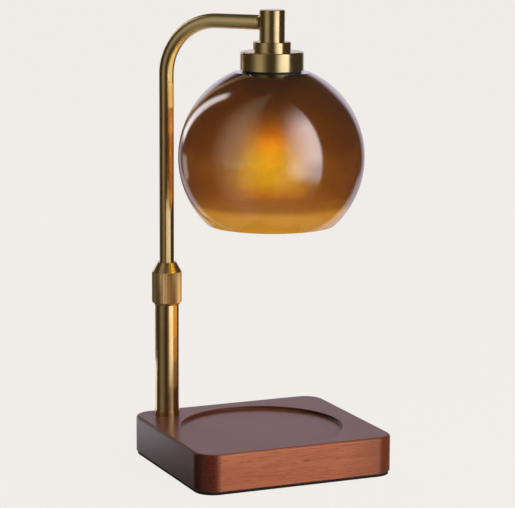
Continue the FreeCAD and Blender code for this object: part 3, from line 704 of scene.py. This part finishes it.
turn, tip, lean = (math.radians(angle) for angle in (23.6013, 9.8991, 0.2774))
forward = Vector((math.sin(turn) * math.cos(tip), math.cos(turn) * math.cos(tip), -math.sin(tip)))
level = Vector((math.cos(turn), -math.sin(turn), 0))
right = math.cos(lean) * level + math.sin(lean) * level.cross(forward)
up = right.cross(forward)
standpoint = Matrix.Translation((-0.639291, -1.454805, 0.430823))
lens = bpy.data.cameras.new("camera")
lens.lens = 157.716
lens.sensor_width = 36.0
lens.clip_start = 0.1
lens.clip_end = 60.0
camera = bpy.data.objects.new("camera", lens)
bpy.context.scene.collection.objects.link(camera)
camera.matrix_world = standpoint @ Matrix((right, up, -forward)).transposed().to_4x4()
bpy.context.scene.camera = camera


# ---- Studio ----
# A plain pale room, lit by a soft box at the right and a strip behind. What shines in the brass and
# the glass is painted on the room: a tall box at the right, a dim one at the left, a strip behind.
# Cards seen by mirror rays alone add the lamp's warm light in the brass, and a sheen on the wood.

room = bpy.data.worlds.new("studio")
bpy.context.scene.world = room
room.use_nodes = True
studio = Shader(room.node_tree)
split = studio.add("SeparateXYZ", {}, {"Vector": studio.add("TexCoord", take="Generated")})
x, y, z = split, split.output("Y"), split.output("Z")
to_right = x * level.x + y * level.y
to_front = x * -math.sin(turn) + y * -math.cos(turn)
round_lamp = studio.add("Math", {"operation": "ARCTAN2"}, {0: to_right, 1: to_front}) * math.degrees(1)
level_length = (1 - z * z) ** 0.5 + 0.001


def between(value, first, last, edge):
    """1 where the value lies between these two, 0 outside, with soft edges of this width."""
    rise = studio.step(value, first - edge / 2, first + edge / 2)
    return rise * studio.step(value, last + edge / 2, last - edge / 2)


dark_room = (0.050, 0.042, 0.030, 1)
dark_floor = (0.10, 0.09, 0.08, 1)
shine = studio.mix(studio.step(z, -0.50, -0.90), dark_room, dark_floor)

backdrop_low = (0.46, 0.43, 0.48, 1)
backdrop_high = (0.74, 0.67, 0.82, 1)
wider_below = studio.step(z, -0.16, -0.30) * 0.10
behind = studio.step(to_front / level_length - wider_below, -0.80, -0.93)
behind = behind * studio.step(z, 0.50, 0.24)
backdrop = studio.mix(studio.step(z, -0.05, 0.12), backdrop_low, backdrop_high)
shine = studio.mix(behind, shine, backdrop)

back_strip = (1.90, 1.84, 1.84, 1)
back_edge = (0.55, 0.50, 0.44, 1)
strip = between(round_lamp - 33.0 * z, -153, -143, 6.0) * between(z, 0.0, 0.74, 0.10)
edge_line = between(round_lamp, -142, -128, 6.0) * between(z, -0.27, -0.08, 0.05)
shine = studio.mix(strip, shine, back_strip)
shine = studio.mix(edge_line, shine, back_edge)

left_high = (0.38, 0.36, 0.29, 1)
left_low = (0.22, 0.20, 0.165, 1)
left_near = (0.42, 0.40, 0.33, 1)
low_down = studio.step(z, 0.08, -0.18)
left_box = between(round_lamp, -70, -26, 34.0) * between(z, -0.95, 0.93, 0.9)
left_patch = between(round_lamp, -58, -34, 10.0) * between(z, -0.14, 0.02, 0.10)
shine = studio.mix(left_box, shine, studio.mix(low_down, left_high, left_low))
shine = studio.mix(left_patch, shine, left_near)

key_bright = (2.08, 2.05, 2.12, 1)
key_warm = (0.95, 0.94, 0.80, 1)
key_cool = (1.12, 1.18, 1.34, 1)
key_foot = (0.22, 0.18, 0.12, 1)
high_key = studio.mix(studio.step(round_lamp, 8.0, 58.0), shine, key_bright)
low_key = studio.mix(studio.step(round_lamp, 5.0, 45.0), key_warm, key_cool)
low_key = studio.mix(studio.step(round_lamp, 8.0, 34.0), shine, low_key)
foot = studio.step(z + (round_lamp - 20.0) * 0.002, -0.14, -0.42)
low_key = studio.mix(foot, low_key, key_foot)
key = between(round_lamp, 4.0, 64.5, 5.0) * between(z, -0.60, 0.76, 0.4)
shine = studio.mix(key, shine, studio.mix(low_down, high_key, low_key))

dim_side = (0.05, 0.05, 0.055, 1)
lit_side = (0.46, 0.45, 0.44, 1)
ways = studio.add("LightPath")
mirrored = studio.step(ways.output("Glossy Depth"), 0.4, 0.6)
through = ways.output("Is Transmission Ray")
mirror_or_glass = studio.larger(ways.output("Is Glossy Ray"), through)
light = studio.mix(studio.step(x, -0.35, 0.15), dim_side, lit_side)
light = studio.mix(mirror_or_glass, light, shine)
light = studio.mix(studio.larger(ways, through * (1 - mirrored)), light, pale)
studio.feed(room.node_tree.nodes["Background"].inputs["Color"], light)

lamp_middle = Vector((0, 0, 0.12))
for name, bearing, height, distance, size, power, tint in (
        ("key_box", 52.0, 0.55, 1.9, 0.9, 34.0, (1.0, 0.965, 0.92)),
        ("back_strip", -150.0, 1.10, 1.7, 0.7, 5.0, (0.97, 0.97, 1.0))):
    lamp = bpy.data.lights.new(name, "AREA")
    lamp.size = size
    lamp.energy = power
    lamp.color = tint
    softbox = bpy.data.objects.new(name, lamp)
    bpy.context.scene.collection.objects.link(softbox)
    bearing = math.radians(bearing)
    way = level * math.sin(bearing) - Vector((math.sin(turn), math.cos(turn), 0)) * math.cos(bearing)
    softbox.location = way * distance + Vector((0, 0, height))
    softbox.rotation_mode = "QUATERNION"
    softbox.rotation_quaternion = (softbox.location - lamp_middle).to_track_quat("Z", "Y")
    softbox.visible_glossy = False
    softbox.visible_transmission = False

near_lamp = (-0.0305, 0.0285)
near_column = (-0.0438, 0.0434)
to_column = (-0.670, 0.742, 0.0)
to_left_face = (0.172, -0.369, -0.913)
to_column_front = (0.280, 0.960, 0.0)
for name, place, toward, wide, high, power, tint in (
        ("left_card", (-0.200, 0.400, -0.060), to_left_face, 0.22, 0.44, 0.36, (0.90, 0.86, 1.0)),
        ("arm_card", (*near_lamp, 0.292), to_column, 0.050, 0.044, 0.0076, (1.0, 0.92, 0.55)),
        ("arm_warm", (*near_column, 0.2633), to_column, 0.020, 0.0176, 0.00105, (1.0, 0.80, 0.40)),
        ("arm_amber", (*near_column, 0.2452), to_column, 0.020, 0.0185, 0.0005, (1.0, 0.55, 0.20)),
        ("arm_red", (*near_column, 0.2105), to_column, 0.012, 0.051, 0.00035, (1.0, 0.50, 0.20)),
        ("front_card", (-0.0690, -0.0030, 0.150), to_column_front, 0.030, 0.060, 0.0050, (1.0, 0.90, 0.66)),
        ("glow_top", (*near_lamp, 0.117), to_column, 0.060, 0.026, 0.0037, (1.0, 0.60, 0.22)),
        ("glow_high", (*near_lamp, 0.093), to_column, 0.060, 0.022, 0.0036, (1.0, 0.50, 0.12)),
        ("glow_middle", (*near_lamp, 0.073), to_column, 0.060, 0.018, 0.0018, (1.0, 0.52, 0.16)),
        ("glow_low", (*near_lamp, 0.054), to_column, 0.060, 0.020, 0.0009, (1.0, 0.60, 0.28))):
    lamp = bpy.data.lights.new(name, "AREA")
    lamp.shape = "RECTANGLE"
    lamp.size = wide
    lamp.size_y = high
    lamp.energy = power
    lamp.color = tint
    card = bpy.data.objects.new(name, lamp)
    bpy.context.scene.collection.objects.link(card)
    card.location = place
    card.rotation_mode = "QUATERNION"
    card.rotation_quaternion = (-Vector(toward)).to_track_quat("Z", "Y")
    card.visible_camera = False
    card.visible_diffuse = False
    card.visible_transmission = False

bpy.context.scene.view_settings.view_transform = "Standard"
